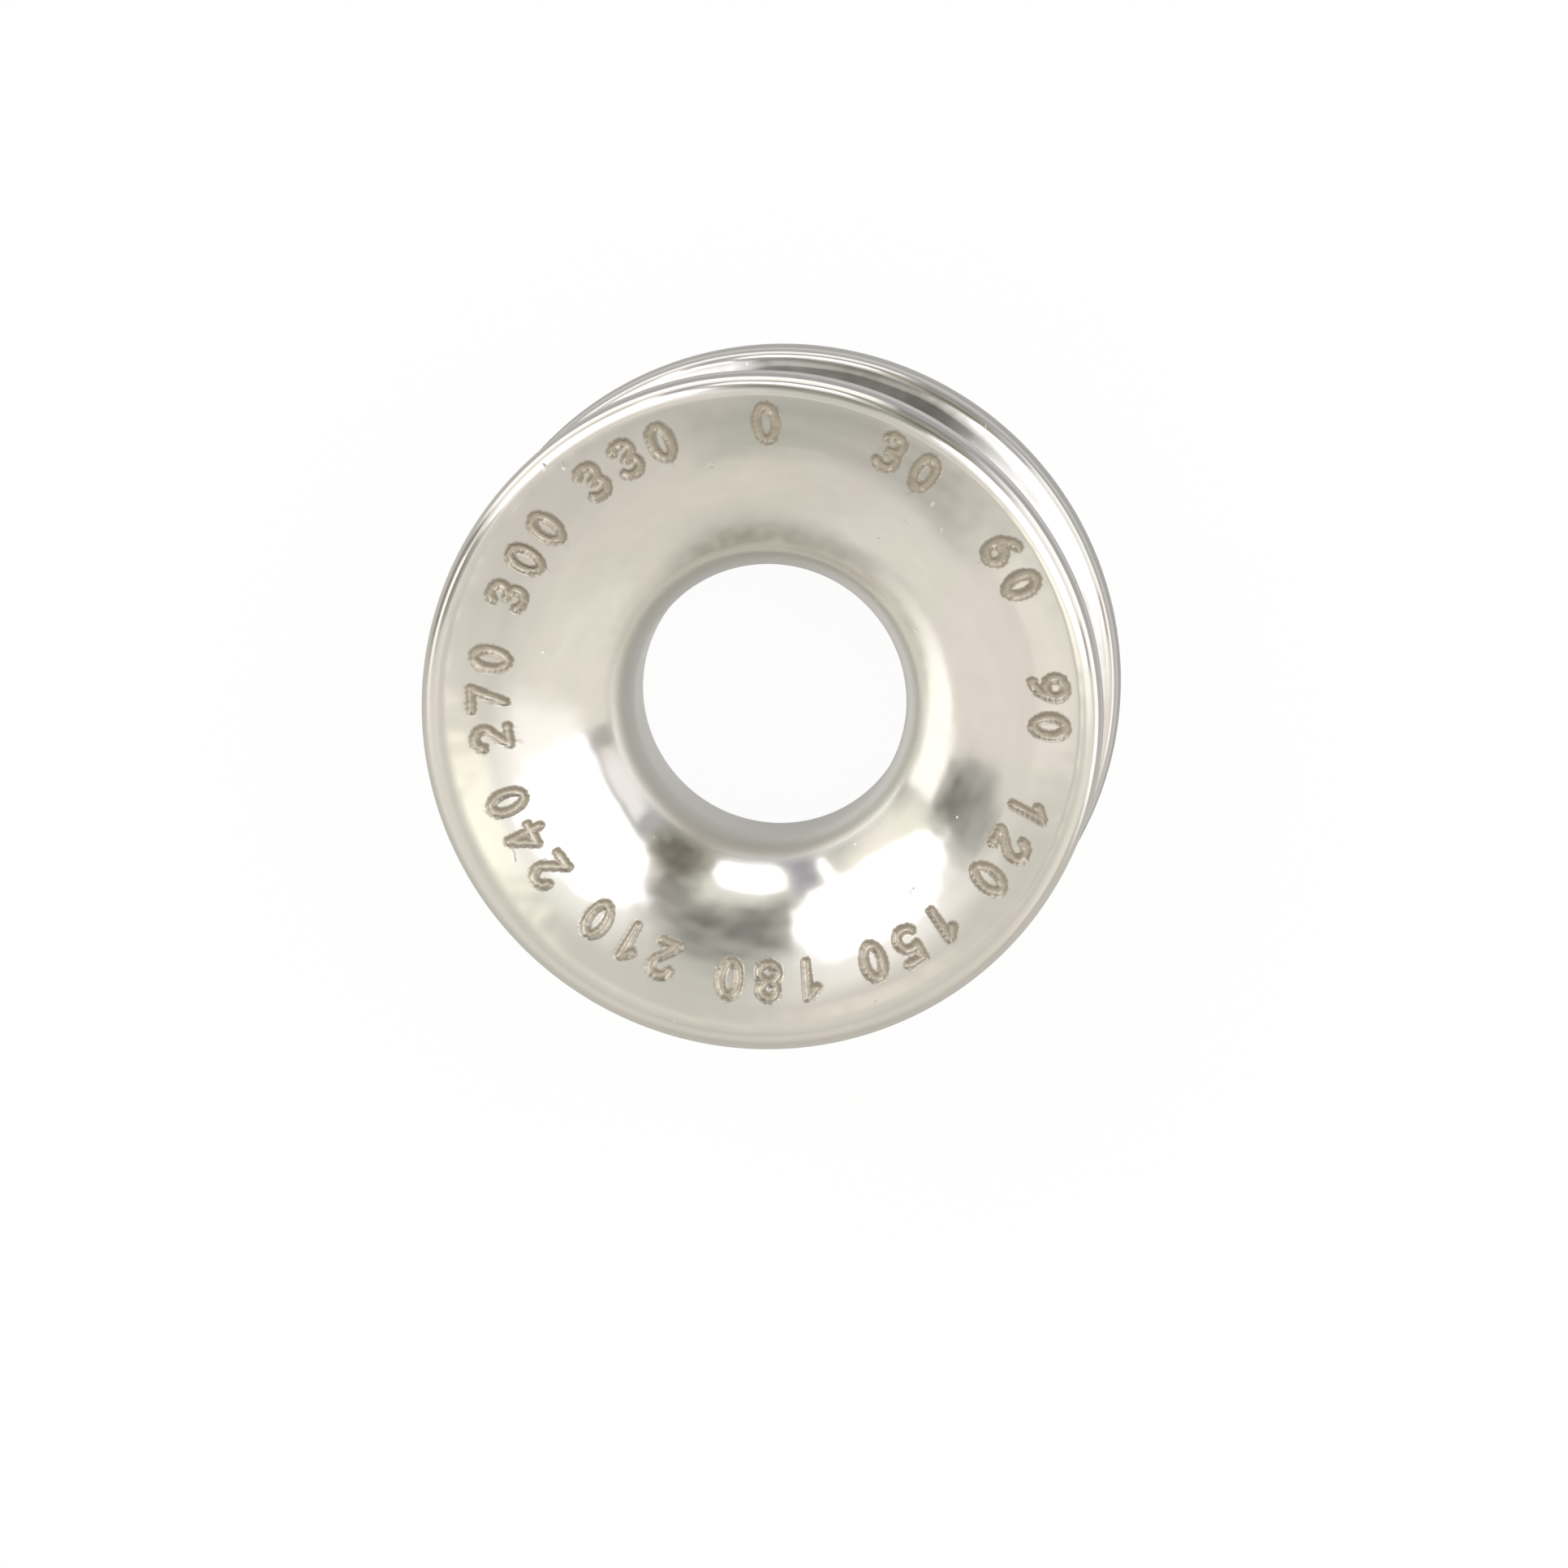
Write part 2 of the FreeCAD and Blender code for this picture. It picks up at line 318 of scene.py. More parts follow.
pressure = 1 + wavering(fine_angle, (2, 5, 9, 23), PRESSURE_SHARE)
uneven = wavering(fine_angle, (97, 211, 331), EDGE_SHARE)
uneven = uneven + wavering(fine_r / MM * TURNS_PER_MM, (5, 9), EDGE_SHARE_ACROSS)
edge_distance = stroke_distance / STROKE_RADIUS + uneven
sunk = 1 - smooth_step(FLOOR_END, SHOULDER_END, edge_distance)
lip = np.exp(-(((edge_distance - LIP_PLACE) / LIP_SPREAD) ** 2))
sink = pressure * (LIP_HEIGHT * lip - STROKE_DEPTH * sunk)
dulled_share = 1 - smooth_step(DULL_END, BRIGHT_START, edge_distance)
fine_points = np.stack([fine_x, fine_y, face_height(fine_r)], axis=-1)
fine_points += sink[..., None] * face_normal(fine_r, fine_angle[None, :])
print("the deepest stroke is", round(-1e6 * float(sink.min())), "micrometres deep")

# %% [markdown]
# The coarse grid needs only enough columns for a round outline. On the upper face its rows ease
# from the circle round the axis to the off-centre circle of the marks, and back. Every sixth column
# of the fine grid meets a coarse one, and one many-sided face closes the strip between two of them.

# %% The coarse rows, inside and outside the marks
COLUMNS = 240
PER_COLUMN = FINE_COLUMNS // COLUMNS
angle = np.arange(COLUMNS) * 2 * math.pi / COLUMNS
INNER_SHARES = np.linspace(0, 1, 14)[1:-1] ** 0.9
OUTER_SHARES = np.array([0.45, 0.9])


def eased_rows(start_radius, end_radius, shares):
    """Points on the upper face, at shares of the way from one circle to another."""
    radius = start_radius + shares[:, None] * (end_radius - start_radius)
    return np.stack([radius * np.cos(angle), radius * np.sin(angle), face_height(radius)], axis=-1)


inner_edge = mark_circle(MARK_BASE - MARK_MARGIN, angle)[None, :]
outer_edge = mark_circle(MARK_TOP + MARK_MARGIN, angle)[None, :]
inside = eased_rows(inner_edge, BLEND_RADIUS, INNER_SHARES)
outside = eased_rows(round_x, outer_edge, OUTER_SHARES)
turned = np.stack([
    section[:, :1] * np.cos(angle),
    section[:, :1] * np.sin(angle),
    np.repeat(section[:, 1:], COLUMNS, axis=1),
], axis=-1)
coarse_points = np.concatenate([inside, turned, outside])
print(len(coarse_points), "coarse rows of", COLUMNS, "points")


# %% Join the two grids into one closed skin
def grid_faces(rows, columns, first):
    """Four corners for each cell of a grid that closes on itself along its rows."""
    row = np.arange(rows - 1)[:, None] * columns + first
    column = np.arange(columns)[None, :]
    after = (column + 1) % columns
    return np.stack([row + column, row + columns + column, row + columns + after, row + after],
                    axis=-1).reshape(-1, 4)


def strip_faces(coarse_first, fine_first, fine_goes_outward):
    """One face for each coarse column: two coarse corners and seven fine ones."""
    column = np.arange(COLUMNS)[:, None]
    coarse = coarse_first + np.hstack([column, (column + 1) % COLUMNS])
    steps = np.arange(PER_COLUMN + 1)[None, :]
    fine = fine_first + (column * PER_COLUMN + steps) % FINE_COLUMNS
    if fine_goes_outward:
        return np.hstack([coarse, fine[:, ::-1]])
    return np.hstack([coarse[:, ::-1], fine])


coarse_rows = len(coarse_points)
fine_first = coarse_rows * COLUMNS
last_coarse = fine_first - COLUMNS
last_fine = fine_first + (FINE_ROWS - 1) * FINE_COLUMNS
quads = np.vstack([
    grid_faces(coarse_rows, COLUMNS, 0),
    grid_faces(FINE_ROWS, FINE_COLUMNS, fine_first)[:, ::-1],
])
strips = np.vstack([
    strip_faces(0, fine_first, True),
    strip_faces(last_coarse, last_fine, False),
])
points = np.vstack([coarse_points.reshape(-1, 3), fine_points.reshape(-1, 3)])
mesh = bpy.data.meshes.new("ring_skin")
mesh.from_pydata(points.tolist(), [], quads.tolist() + strips.tolist())
mesh.validate()
mesh.shade_smooth()
ring = bpy.data.objects.new("ring_skin", mesh)
bpy.context.scene.collection.objects.link(ring)
mesh.calc_loop_triangles()
print(len(mesh.loop_triangles), "triangles in the ring")

# %% [markdown]
# A few numbers on each point help the materials: whether it lies in a stroke and how deep, whether
# it lies in the throat or on the worn side of the rim, where the steel is duller, where the throat
# gets painted shade away from the lit side, and where the rope groove gets painted shade on one
# side. The faces of the groove get a material slot of their own, because a tumbler's polish never
# reaches its bottom as well as it reaches the flare.

# %% Mark the engraving, the duller places and the groove
WORN_TOWARDS = math.radians(245)
# Between these azimuths the groove gets a darker colour, which is painted shade.
GROOVE_SHADE_FROM, GROOVE_SHADE_TO = math.radians(52), math.radians(96)
GROOVE_SHADE_COMES, GROOVE_SHADE_GOES = 0.18, 0.06
DULL_THROAT, CLEAR_FACE = 0.16 * MM, 0.54 * MM
WORN_INSIDE, WORN_OUTSIDE = 0.08 * MM, 0.12 * MM
GROOVE_LIP = 0.02 * MM


def keep_on_points(name, values):
    """Keep one number a point under this name, for the materials."""
    attribute = mesh.attributes.new(name, "FLOAT", "POINT")
    attribute.data.foreach_set("value", values)


keep_on_points("engraving", np.concatenate([np.zeros(fine_first), dulled_share.ravel()]))
keep_on_points("depth", np.concatenate([np.zeros(fine_first), sunk.ravel()]))
point_radius = np.hypot(points[:, 0], points[:, 1])
point_angle = np.arctan2(points[:, 1], points[:, 0])
throat_share = 1 - smooth_step(DULL_THROAT, CLEAR_FACE, point_radius - BORE)
worn_side = smooth_step(0.1, 0.6, np.cos(point_angle - WORN_TOWARDS))
rim_share = worn_side * smooth_step(round_x - WORN_INSIDE, round_x + WORN_OUTSIDE, point_radius)
keep_on_points("dull", np.maximum(throat_share, rim_share))
# The throat away from the lit side gets a darker steel colour, which is painted shade.
lit_side = smooth_step(0.2, 0.85, np.cos(point_angle))
keep_on_points("throat", throat_share * (1 - lit_side))
# Painted shade on one side of the groove, between two azimuths.
groove_shading = smooth_step(-GROOVE_SHADE_COMES, GROOVE_SHADE_COMES, point_angle - GROOVE_SHADE_FROM)
groove_shading = groove_shading * (1 - smooth_step(-GROOVE_SHADE_GOES, GROOVE_SHADE_GOES, point_angle - GROOVE_SHADE_TO))
keep_on_points("groove_shade", groove_shading)

face_count = len(mesh.polygons)
centres = np.empty(face_count * 3)
mesh.polygons.foreach_get("center", centres)
centres = centres.reshape(-1, 3)
from_axis = np.hypot(centres[:, 0], centres[:, 1])
in_groove = np.abs(centres[:, 2] - middle) < GROOVE_RADIUS + GROOVE_LIP
in_groove &= from_axis > bottom_x - GROOVE_RADIUS - HOLD
mesh.polygons.foreach_set("material_index", in_groove.astype(np.int32))
print(int(in_groove.sum()), "of", face_count, "faces lie in the groove")

# %% [markdown]
# The steel isn't a mirror. Tumbling leaves a faint orange peel, a haze whose strength wanders, and
# the odd nick from other parts in the drum. Turning leaves fine rings round the axis, which survive
# where the tumbling media can't reach. Each effect is a node group with named inputs, so that both
# materials can use it with their own strength.


# %% Helpers for nodes and node groups
def new_group(name, inputs, outputs):
    """An empty shader node group with plain number inputs, (label, value), and outputs."""
    group = bpy.data.node_groups.new(name, "ShaderNodeTree")
    for label, value in inputs:
        socket = group.interface.new_socket(label, in_out="INPUT", socket_type="NodeSocketFloat")
        socket.default_value = value
    for label in outputs:
        group.interface.new_socket(label, in_out="OUTPUT", socket_type="NodeSocketFloat")
    return group, group.nodes.new("NodeGroupInput"), group.nodes.new("NodeGroupOutput")


def add(tree, kind, **settings):
    """A node with its settings."""
    node = tree.nodes.new(kind)
    for key, value in settings.items():
        setattr(node, key, value)
    return node


def feed(tree, socket, value):
    """Set an input socket to a number or a tuple, or link it from an output socket."""
    if isinstance(value, tuple) and socket.type == "RGBA":
        socket.default_value = (*value, 1.0)
    elif isinstance(value, (int, float, tuple)):
        socket.default_value = value
    else:
        tree.links.new(value, socket)


def object_place(tree):
    """The place of a point in its object, which here is its place in the room."""
    return add(tree, "ShaderNodeTexCoord").outputs["Object"]


def point_mask(tree, name):
    """The number that keep_on_points kept under this name."""
    return add(tree, "ShaderNodeAttribute", attribute_name=name).outputs["Fac"]


def math_node(tree, operation, *operands, clamp=False):
    """A Math node; each operand is a number or an output socket. Returns its output socket."""
    node = add(tree, "ShaderNodeMath", operation=operation, use_clamp=clamp)
    for socket, operand in zip(node.inputs, operands):
        feed(tree, socket, operand)
    return node.outputs[0]


def vector_node(tree, operation, *operands, output="Vector"):
    """A Vector Math node; each operand is a tuple or an output socket. Returns its output socket."""
    node = add(tree, "ShaderNodeVectorMath", operation=operation)
    for socket, operand in zip(node.inputs, operands):
        feed(tree, socket, operand)
    return node.outputs[output]


def ramp_between(tree, value, low, high):
    """A Map Range node that rises from 0 to 1 with soft ends. Returns its output socket."""
    node = add(tree, "ShaderNodeMapRange", interpolation_type="SMOOTHSTEP")
    feed(tree, node.inputs["Value"], value)
    feed(tree, node.inputs["From Min"], low)
    feed(tree, node.inputs["From Max"], high)
    return node.outputs["Result"]


def noise(tree, vector, scale, detail, output="Fac"):
    """A Noise Texture node on a vector, with its scale in patches a metre."""
    node = add(tree, "ShaderNodeTexNoise")
    feed(tree, node.inputs["Scale"], scale)
    feed(tree, node.inputs["Detail"], detail)
    feed(tree, node.inputs["Vector"], vector)
    return node.outputs[output]


def warped(tree, vector, scale, reach):
    """The vector moved about by a noise, by up to half of reach, which is in metres."""
    swirl = noise(tree, vector, scale, 0.0, output="Color")
    away = vector_node(tree, "SUBTRACT", swirl, (0.5, 0.5, 0.5))
    return vector_node(tree, "MULTIPLY_ADD", away, (reach, reach, reach), vector)


# %% Group: the tumbled polish
HAZE_PATCHES = 520.0
PEEL_PATCHES = 1500.0

polish, polish_in, polish_out = new_group(
    "tumbled_polish", [("Haze", 0.15), ("Wander", 0.05), ("Peel", 1.0)], ["Roughness", "Height"])
place = object_place(polish)
wander = math_node(polish, "SUBTRACT", noise(polish, place, HAZE_PATCHES, 2.0), 0.5)
wander = math_node(polish, "MULTIPLY_ADD", wander, polish_in.outputs["Wander"],
                   polish_in.outputs["Haze"])
feed(polish, polish_out.inputs["Roughness"], wander)
peel = noise(polish, place, PEEL_PATCHES, 1.0)
peel = math_node(polish, "MULTIPLY", peel, polish_in.outputs["Peel"])
feed(polish, polish_out.inputs["Height"], peel)

# %% Group: nicks from the drum
NICK_SWIRLS = 3000.0
NICK_BEND = 0.0004
NICK_LEAST, NICK_SPREAD = 0.04, 0.12

nicks, nicks_in, nicks_out = new_group(
    "drum_nicks", [("Cells per metre", 900.0), ("Amount", 0.3)], ["Mask"])
cells = add(nicks, "ShaderNodeTexVoronoi", feature="F1")
bent = warped(nicks, object_place(nicks), NICK_SWIRLS, NICK_BEND)
feed(nicks, cells.inputs["Vector"], bent)
feed(nicks, cells.inputs["Scale"], nicks_in.outputs["Cells per metre"])
draws = add(nicks, "ShaderNodeSeparateColor")
feed(nicks, draws.inputs[0], cells.outputs["Color"])
chosen = math_node(nicks, "LESS_THAN", draws.outputs[0], nicks_in.outputs["Amount"])
nick_reach = math_node(nicks, "MULTIPLY_ADD", draws.outputs[1], NICK_SPREAD, NICK_LEAST)
from_nick = math_node(nicks, "DIVIDE", cells.outputs["Distance"], nick_reach)
in_nick = math_node(nicks, "SUBTRACT", 1.0, from_nick, clamp=True)
feed(nicks, nicks_out.inputs["Mask"], math_node(nicks, "MULTIPLY", chosen, in_nick))

# %% Group: faint tints
TINT_START, TINT_END = 0.36, 0.64

tints, tints_in, tints_out = new_group("faint_tints", [("Patches per metre", 500.0)], ["Mask"])
cloud = noise(tints, object_place(tints), tints_in.outputs["Patches per metre"], 2.0)
feed(tints, tints_out.inputs["Mask"], ramp_between(tints, cloud, TINT_START, TINT_END))

# %% Group: rings left by the turning tool
tool, tool_in, tool_out = new_group("turning_rings", [("Rings per metre", 9000.0)], ["Height"])
rings_per_metre = tool_in.outputs["Rings per metre"]
parts = add(tool, "ShaderNodeSeparateXYZ")
feed(tool, parts.inputs[0], object_place(tool))
square = math_node(tool, "MULTIPLY", parts.outputs[1], parts.outputs[1])
square = math_node(tool, "MULTIPLY_ADD", parts.outputs[0], parts.outputs[0], square)
outwards = math_node(tool, "MULTIPLY", math_node(tool, "SQRT", square), rings_per_metre)
upwards = math_node(tool, "MULTIPLY", parts.outputs[2], rings_per_metre)
across = add(tool, "ShaderNodeCombineXYZ")
feed(tool, across.inputs[0], outwards)
feed(tool, across.inputs[1], upwards)
feed(tool, tool_out.inputs["Height"], noise(tool, across.outputs[0], 1.0, 3.0))
print("node groups:", [g.name for g in bpy.data.node_groups])

# %% [markdown]
# Stainless steel is a warm grey metal. The strokes were cut after the polish, so their floors are
# duller and a shade browner, and the material blends to that by the engraving mark on each point.
# The walls of the strokes get a darker colour still, which is painted shade, and it shows in random
# specks on the floors too. The bump distances are real ones, a few millionths of a metre.

# %% Colours and helpers for the two steels
GREENISH_STEEL = (0.845, 0.842, 0.798)
ROSY_STEEL = (0.880, 0.850, 0.822)
CUT_FLOOR = (0.60, 0.545, 0.465)
# The darker wall colour of the strokes is painted shade, also scattered as random specks.
CUT_WALL_SHADE_AND_SPECKS = (0.42, 0.38, 0.32)
# A darker steel for the throat away from the lit side: painted shade.
THROAT_SHADED_STEEL = (0.76, 0.75, 0.71)
MIX_FACTOR, MIX_FIRST, MIX_SECOND, MIX_RESULT = 0, 6, 7, 2


def place_group(tree, group, **values):
    """A group in a material, with inputs set by name; _ in a name stands for a space."""
    node = add(tree, "ShaderNodeGroup", node_tree=group)
    for label, value in values.items():
        feed(tree, node.inputs[label.replace("_", " ")], value)
    return node


def new_steel(name):
    """A material of bare metal. Returns it, its node tree and its shader."""
    material = bpy.data.materials.new(name)
    material.use_nodes = True
    shader = material.node_tree.nodes["Principled BSDF"]
    shader.inputs["Metallic"].default_value = 1.0
    return material, material.node_tree, shader


def bump(tree, height, distance, normal=None):
    """A Bump node with a real height in metres for a value of one, over another normal if given."""
    node = add(tree, "ShaderNodeBump")
    feed(tree, node.inputs["Strength"], 1.0)
    feed(tree, node.inputs["Distance"], distance)
    feed(tree, node.inputs["Height"], height)
    if normal is not None:
        feed(tree, node.inputs["Normal"], normal)
    return node.outputs["Normal"]


def blend_colour(tree, mask, first, second):
    """first where the mask is 0 and second where it is 1; each is a colour or an output socket."""
    node = add(tree, "ShaderNodeMix", data_type="RGBA")
    feed(tree, node.inputs[MIX_FACTOR], mask)
    feed(tree, node.inputs[MIX_FIRST], first)
    feed(tree, node.inputs[MIX_SECOND], second)
    return node.outputs[MIX_RESULT]


# %% Polished steel, for all but the groove
SPECKS = 6500.0
SPECKLE_SHARE, FLOOR_LEVEL, FLOOR_BLEND = 0.9, 0.95, 0.6
CUT_HAZE, CUT_SPARKLE = 0.38, 0.30
DULL_HAZE = 0.31
NICK_HAZE = 0.1
PEEL_HEIGHT = 6.5e-6
NICK_DEPTH = 9e-6

polished, tree, shader = new_steel("polished_stainless")
finish = place_group(tree, polish, Haze=0.115, Wander=0.07, Peel=1.0)
marks = place_group(tree, nicks, Cells_per_metre=1900.0, Amount=0.34)
tint = place_group(tree, tints)
cut_mask = point_mask(tree, "engraving")
speckle = noise(tree, object_place(tree), SPECKS, 1.0)
floor_mask = math_node(tree, "SUBTRACT", point_mask(tree, "depth"), FLOOR_LEVEL)
floor_mask = math_node(tree, "MULTIPLY_ADD", speckle, SPECKLE_SHARE, floor_mask)
floor_mask = ramp_between(tree, floor_mask, 0.0, FLOOR_BLEND)
# Painted shade: the channel walls, and random specks in the floors, take the darker wall colour.
cut_colour = blend_colour(tree, floor_mask, CUT_WALL_SHADE_AND_SPECKS, CUT_FLOOR)
steel_colour = blend_colour(tree, tint.outputs["Mask"], GREENISH_STEEL, ROSY_STEEL)
# Painted shade: the throat is darker away from the lit side.
steel_colour = blend_colour(tree, point_mask(tree, "throat"), steel_colour, THROAT_SHADED_STEEL)
steel_colour = blend_colour(tree, cut_mask, steel_colour, cut_colour)
feed(tree, shader.inputs["Base Color"], steel_colour)

cut_haze = math_node(tree, "MULTIPLY_ADD", speckle, -CUT_SPARKLE, CUT_HAZE)
haze = math_node(tree, "MULTIPLY_ADD", cut_mask, cut_haze, finish.outputs["Roughness"])
haze = math_node(tree, "MULTIPLY_ADD", point_mask(tree, "dull"), DULL_HAZE, haze)
haze = math_node(tree, "MULTIPLY_ADD", marks.outputs["Mask"], NICK_HAZE, haze)
feed(tree, shader.inputs["Roughness"], haze)
relief = bump(tree, finish.outputs["Height"], PEEL_HEIGHT)
relief = bump(tree, marks.outputs["Mask"], -NICK_DEPTH, relief)
feed(tree, shader.inputs["Normal"], relief)

# %% [markdown]
# The groove keeps the fine rings of the turning tool. On one side of it a darker colour is painted
# shade, broken where nicks and stains let the brighter steel through. Away from that painted shade,
# its walls look bright on the real ring, as if they opened a little outwards. Here the wall is
# straight, as in the imported model, and only its shading normal leans out: the normal plus a share
# of the direction away from the axis, made one unit long again.

# %% Turned steel, in the groove
GROOVE_STEEL = (0.92, 0.90, 0.91)
GROOVE_STAIN = (0.80, 0.79, 0.78)
# The darker colour on one side of the groove is painted shade.
PAINTED_GROOVE_SHADE = (0.50, 0.495, 0.46)
STAIN_CLEARS = 0.45
SATIN = 0.10
WALL_LEAN = 0.24
RING_HEIGHT = 1.5e-6
GROOVE_PEEL_HEIGHT = 8e-6

turned_steel, tree, shader = new_steel("turned_stainless")
finish = place_group(tree, polish, Haze=0.19, Wander=0.14, Peel=1.4)
rings = place_group(tree, tool)
marks = place_group(tree, nicks, Cells_per_metre=2600.0, Amount=0.55)
stain = place_group(tree, tints, Patches_per_metre=1500.0).outputs["Mask"]
groove_shade_mask = point_mask(tree, "groove_shade")
shade_gaps = math_node(tree, "MULTIPLY_ADD", stain, STAIN_CLEARS, marks.outputs["Mask"], clamp=True)
# Painted shade in the groove, broken by stains and nicks.
groove_shade_share = math_node(tree, "MULTIPLY", math_node(tree, "SUBTRACT", 1.0, shade_gaps), groove_shade_mask)
groove_colour = blend_colour(tree, stain, GROOVE_STAIN, GROOVE_STEEL)
feed(tree, shader.inputs["Base Color"], blend_colour(tree, groove_shade_share, groove_colour, PAINTED_GROOVE_SHADE))

satin = math_node(tree, "MULTIPLY_ADD", groove_shade_mask, -SATIN, SATIN)
haze = math_node(tree, "ADD", satin, finish.outputs["Roughness"])
feed(tree, shader.inputs["Roughness"], haze)
relief = bump(tree, finish.outputs["Height"], GROOVE_PEEL_HEIGHT)
relief = bump(tree, rings.outputs["Height"], RING_HEIGHT, relief)
relief = bump(tree, marks.outputs["Mask"], -NICK_DEPTH, relief)
outward = vector_node(tree, "MULTIPLY", object_place(tree), (1.0, 1.0, 0.0))
outward = vector_node(tree, "NORMALIZE", outward)
wall_lean = math_node(tree, "MULTIPLY_ADD", groove_shade_mask, -WALL_LEAN, WALL_LEAN)
leaning = vector_node(tree, "MULTIPLY_ADD", outward, wall_lean, relief)
feed(tree, shader.inputs["Normal"], vector_node(tree, "NORMALIZE", leaning))

mesh.materials.append(polished)
mesh.materials.append(turned_steel)
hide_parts("ring")
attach(ring, "root")

# %% [markdown]
# Polished metal shows its surroundings more than itself, so the room matters as much as the steel.
# Here the room is a backdrop: a wide dome round the ring, which glows in the colours of a room. Its
# colours are worked out with numpy and kept on its points, so the renderer only looks them up. Think
# of the dome as a disc: the middle is straight overhead, the rim is the horizon, and a place on it
# says how far a direction leans and to which side.

# %% The points of the dome
DOME_RADIUS = 1.2
DOME_ROWS = 136
DOME_COLUMNS = 540

lean = np.linspace(0.002, 1, DOME_ROWS)[:, None]
side = (np.arange(DOME_COLUMNS) * 2 * math.pi / DOME_COLUMNS)[None, :]
disc = np.stack([lean * np.cos(side), lean * np.sin(side)], axis=-1)
disc_x, disc_y = disc[..., 0], disc[..., 1]
dome_points = DOME_RADIUS * np.stack([
    np.sin(lean * math.pi / 2) * np.cos(side),
    np.sin(lean * math.pi / 2) * np.sin(side),
    np.cos(lean * math.pi / 2) + 0 * side,
], axis=-1)

# %% [markdown]
# The walls are a warm pale grey, lighter to the sides than overhead and duller near the floor. Over
# them lie soft patches: duller and darker corners first, then windows. A patch is a convex outline
# given by its corners, counter-clockwise. A point lies as deep inside as its distance to the nearest
# edge's line, so one dot product for each edge and a minimum give a mask with an even, soft edge.

# %% The plain walls, and functions for patches
OVERHEAD = (0.65, 0.625, 0.575)
WARM_SIDE = (0.86, 0.82, 0.74)
ROSY_SIDE = (0.82, 0.775, 0.71)
NEAR_FLOOR = (0.58, 0.57, 0.51)
FRONT_FLOOR = (0.42, 0.40, 0.345)
FRONT_WALL = (0.75, 0.71, 0.63)


def mixed_shade(mask, first, second):
    """first where the mask is 0, second where it is 1, and a straight blend between."""
    return np.asarray(first) + mask[..., None] * (np.asarray(second) - first)


def lay_patch(room, shade, softness, corners, hole=(0.0, 0.0, -1.0), within=2.0):
    """Lay a patch of another shade over the room.

    The depth is the least of offset - normal . place over the edges, and the mask rises smoothly
    from 0 to 1 while the depth goes from -softness / 2 to softness / 2. A round hole, given as x, y
    and radius, is left out of the patch, and so is what lies further than within from the middle.
    """
    corners = np.array(corners)
    along = np.roll(corners, -1, axis=0) - corners
    normals = np.column_stack([along[:, 1], -along[:, 0]]) / np.linalg.norm(along, axis=1)[:, None]
    depth = ((normals * corners).sum(axis=1) - disc @ normals.T).min(axis=-1)
    outside_hole = np.hypot(disc_x - hole[0], disc_y - hole[1]) - hole[2]
    depth = np.minimum(depth, np.minimum(outside_hole, within - lean))
    return mixed_shade(smooth_step(-softness / 2, softness / 2, depth), room, shade)


def lay_patches(room, patches):
    """Lay patches, each a (shade, softness, corners), the first one lowest."""
    for shade, softness, corners in patches:
        room = lay_patch(room, shade, softness, corners)
    return room


room = mixed_shade(smooth_step(0.06, 0.50, disc_x), OVERHEAD, WARM_SIDE)
room = mixed_shade(smooth_step(0.10, 0.45, -disc_x), room, ROSY_SIDE)
room = mixed_shade(smooth_step(0.76, 0.88, lean + 0 * side), room, NEAR_FLOOR)
room = mixed_shade(smooth_step(0.68, 0.92, -disc_y), room, FRONT_FLOOR)
room = lay_patch(room, FRONT_WALL, 0.30, [(-0.20, -0.72), (0.45, -0.70), (0.35, -0.40), (-0.15, -0.42)])

# %% [markdown]
# The outer part of the face mirrors a small circle near the middle of the disc, what hangs right
# over the ring. Each sector of that circle shows in the sector of the face across from it.

# %% What hangs right over the ring
OVER_FACE = np.array([-0.07, -0.10])


def lay_sector(room, shade, softness, start, end, near=0.05, far=0.26):
    """Lay a four-cornered patch that a stretch of the face mirrors, between two azimuths in degrees.

    The corners are OVER_FACE less near or far times (cos a, sin a).
    """
    corners = [OVER_FACE - size * np.array([math.cos(math.radians(a)), math.sin(math.radians(a))])
               for size, a in ((near, start), (far, start), (far, end), (near, end))]
    return lay_patch(room, shade, softness, corners)


room = lay_sector(room, (0.53, 0.515, 0.465), 0.09, 42, 101, far=0.36)
room = lay_sector(room, (0.465, 0.455, 0.41), 0.045, 48, 100, near=0.035, far=0.19)
room = lay_sector(room, (0.91, 0.87, 0.79), 0.05, -12, 34)
room = lay_sector(room, (0.73, 0.70, 0.645), 0.05, 160, 184)
room = lay_sector(room, (1.30, 1.24, 1.08), 0.04, 188, 220, near=0.03)
room = lay_sector(room, (0.92, 0.865, 0.76), 0.04, 278, 304, far=0.14)

# %% [markdown]
# The steep curve near the throat gathers the whole room into a narrow band, so a few dark corners
# and pale ends are enough there. The later patches lie on the earlier ones.

# %% Dark corners, and the paler ends of the room
GLOOM = (0.25, 0.245, 0.225)
DEEP_GLOOM = (0.25, 0.245, 0.22)
HALF_GLOOM = (0.39, 0.38, 0.345)
SOFT_GLOOM = (0.43, 0.42, 0.395)
DIM = (0.50, 0.485, 0.44)
OLIVE_GLOOM = (0.21, 0.20, 0.16)
OLIVE = (0.37, 0.36, 0.31)
GREY = (0.42, 0.42, 0.41)
GREENISH_GREY = (0.61, 0.61, 0.57)
LAVENDER = (0.44, 0.43, 0.47)
DARK_FRAME = (0.40, 0.39, 0.38)
LIGHT_GREY = (0.49, 0.48, 0.51)
ROSY_GREY = (0.48, 0.455, 0.435)
PALE = (1.00, 0.97, 0.96)

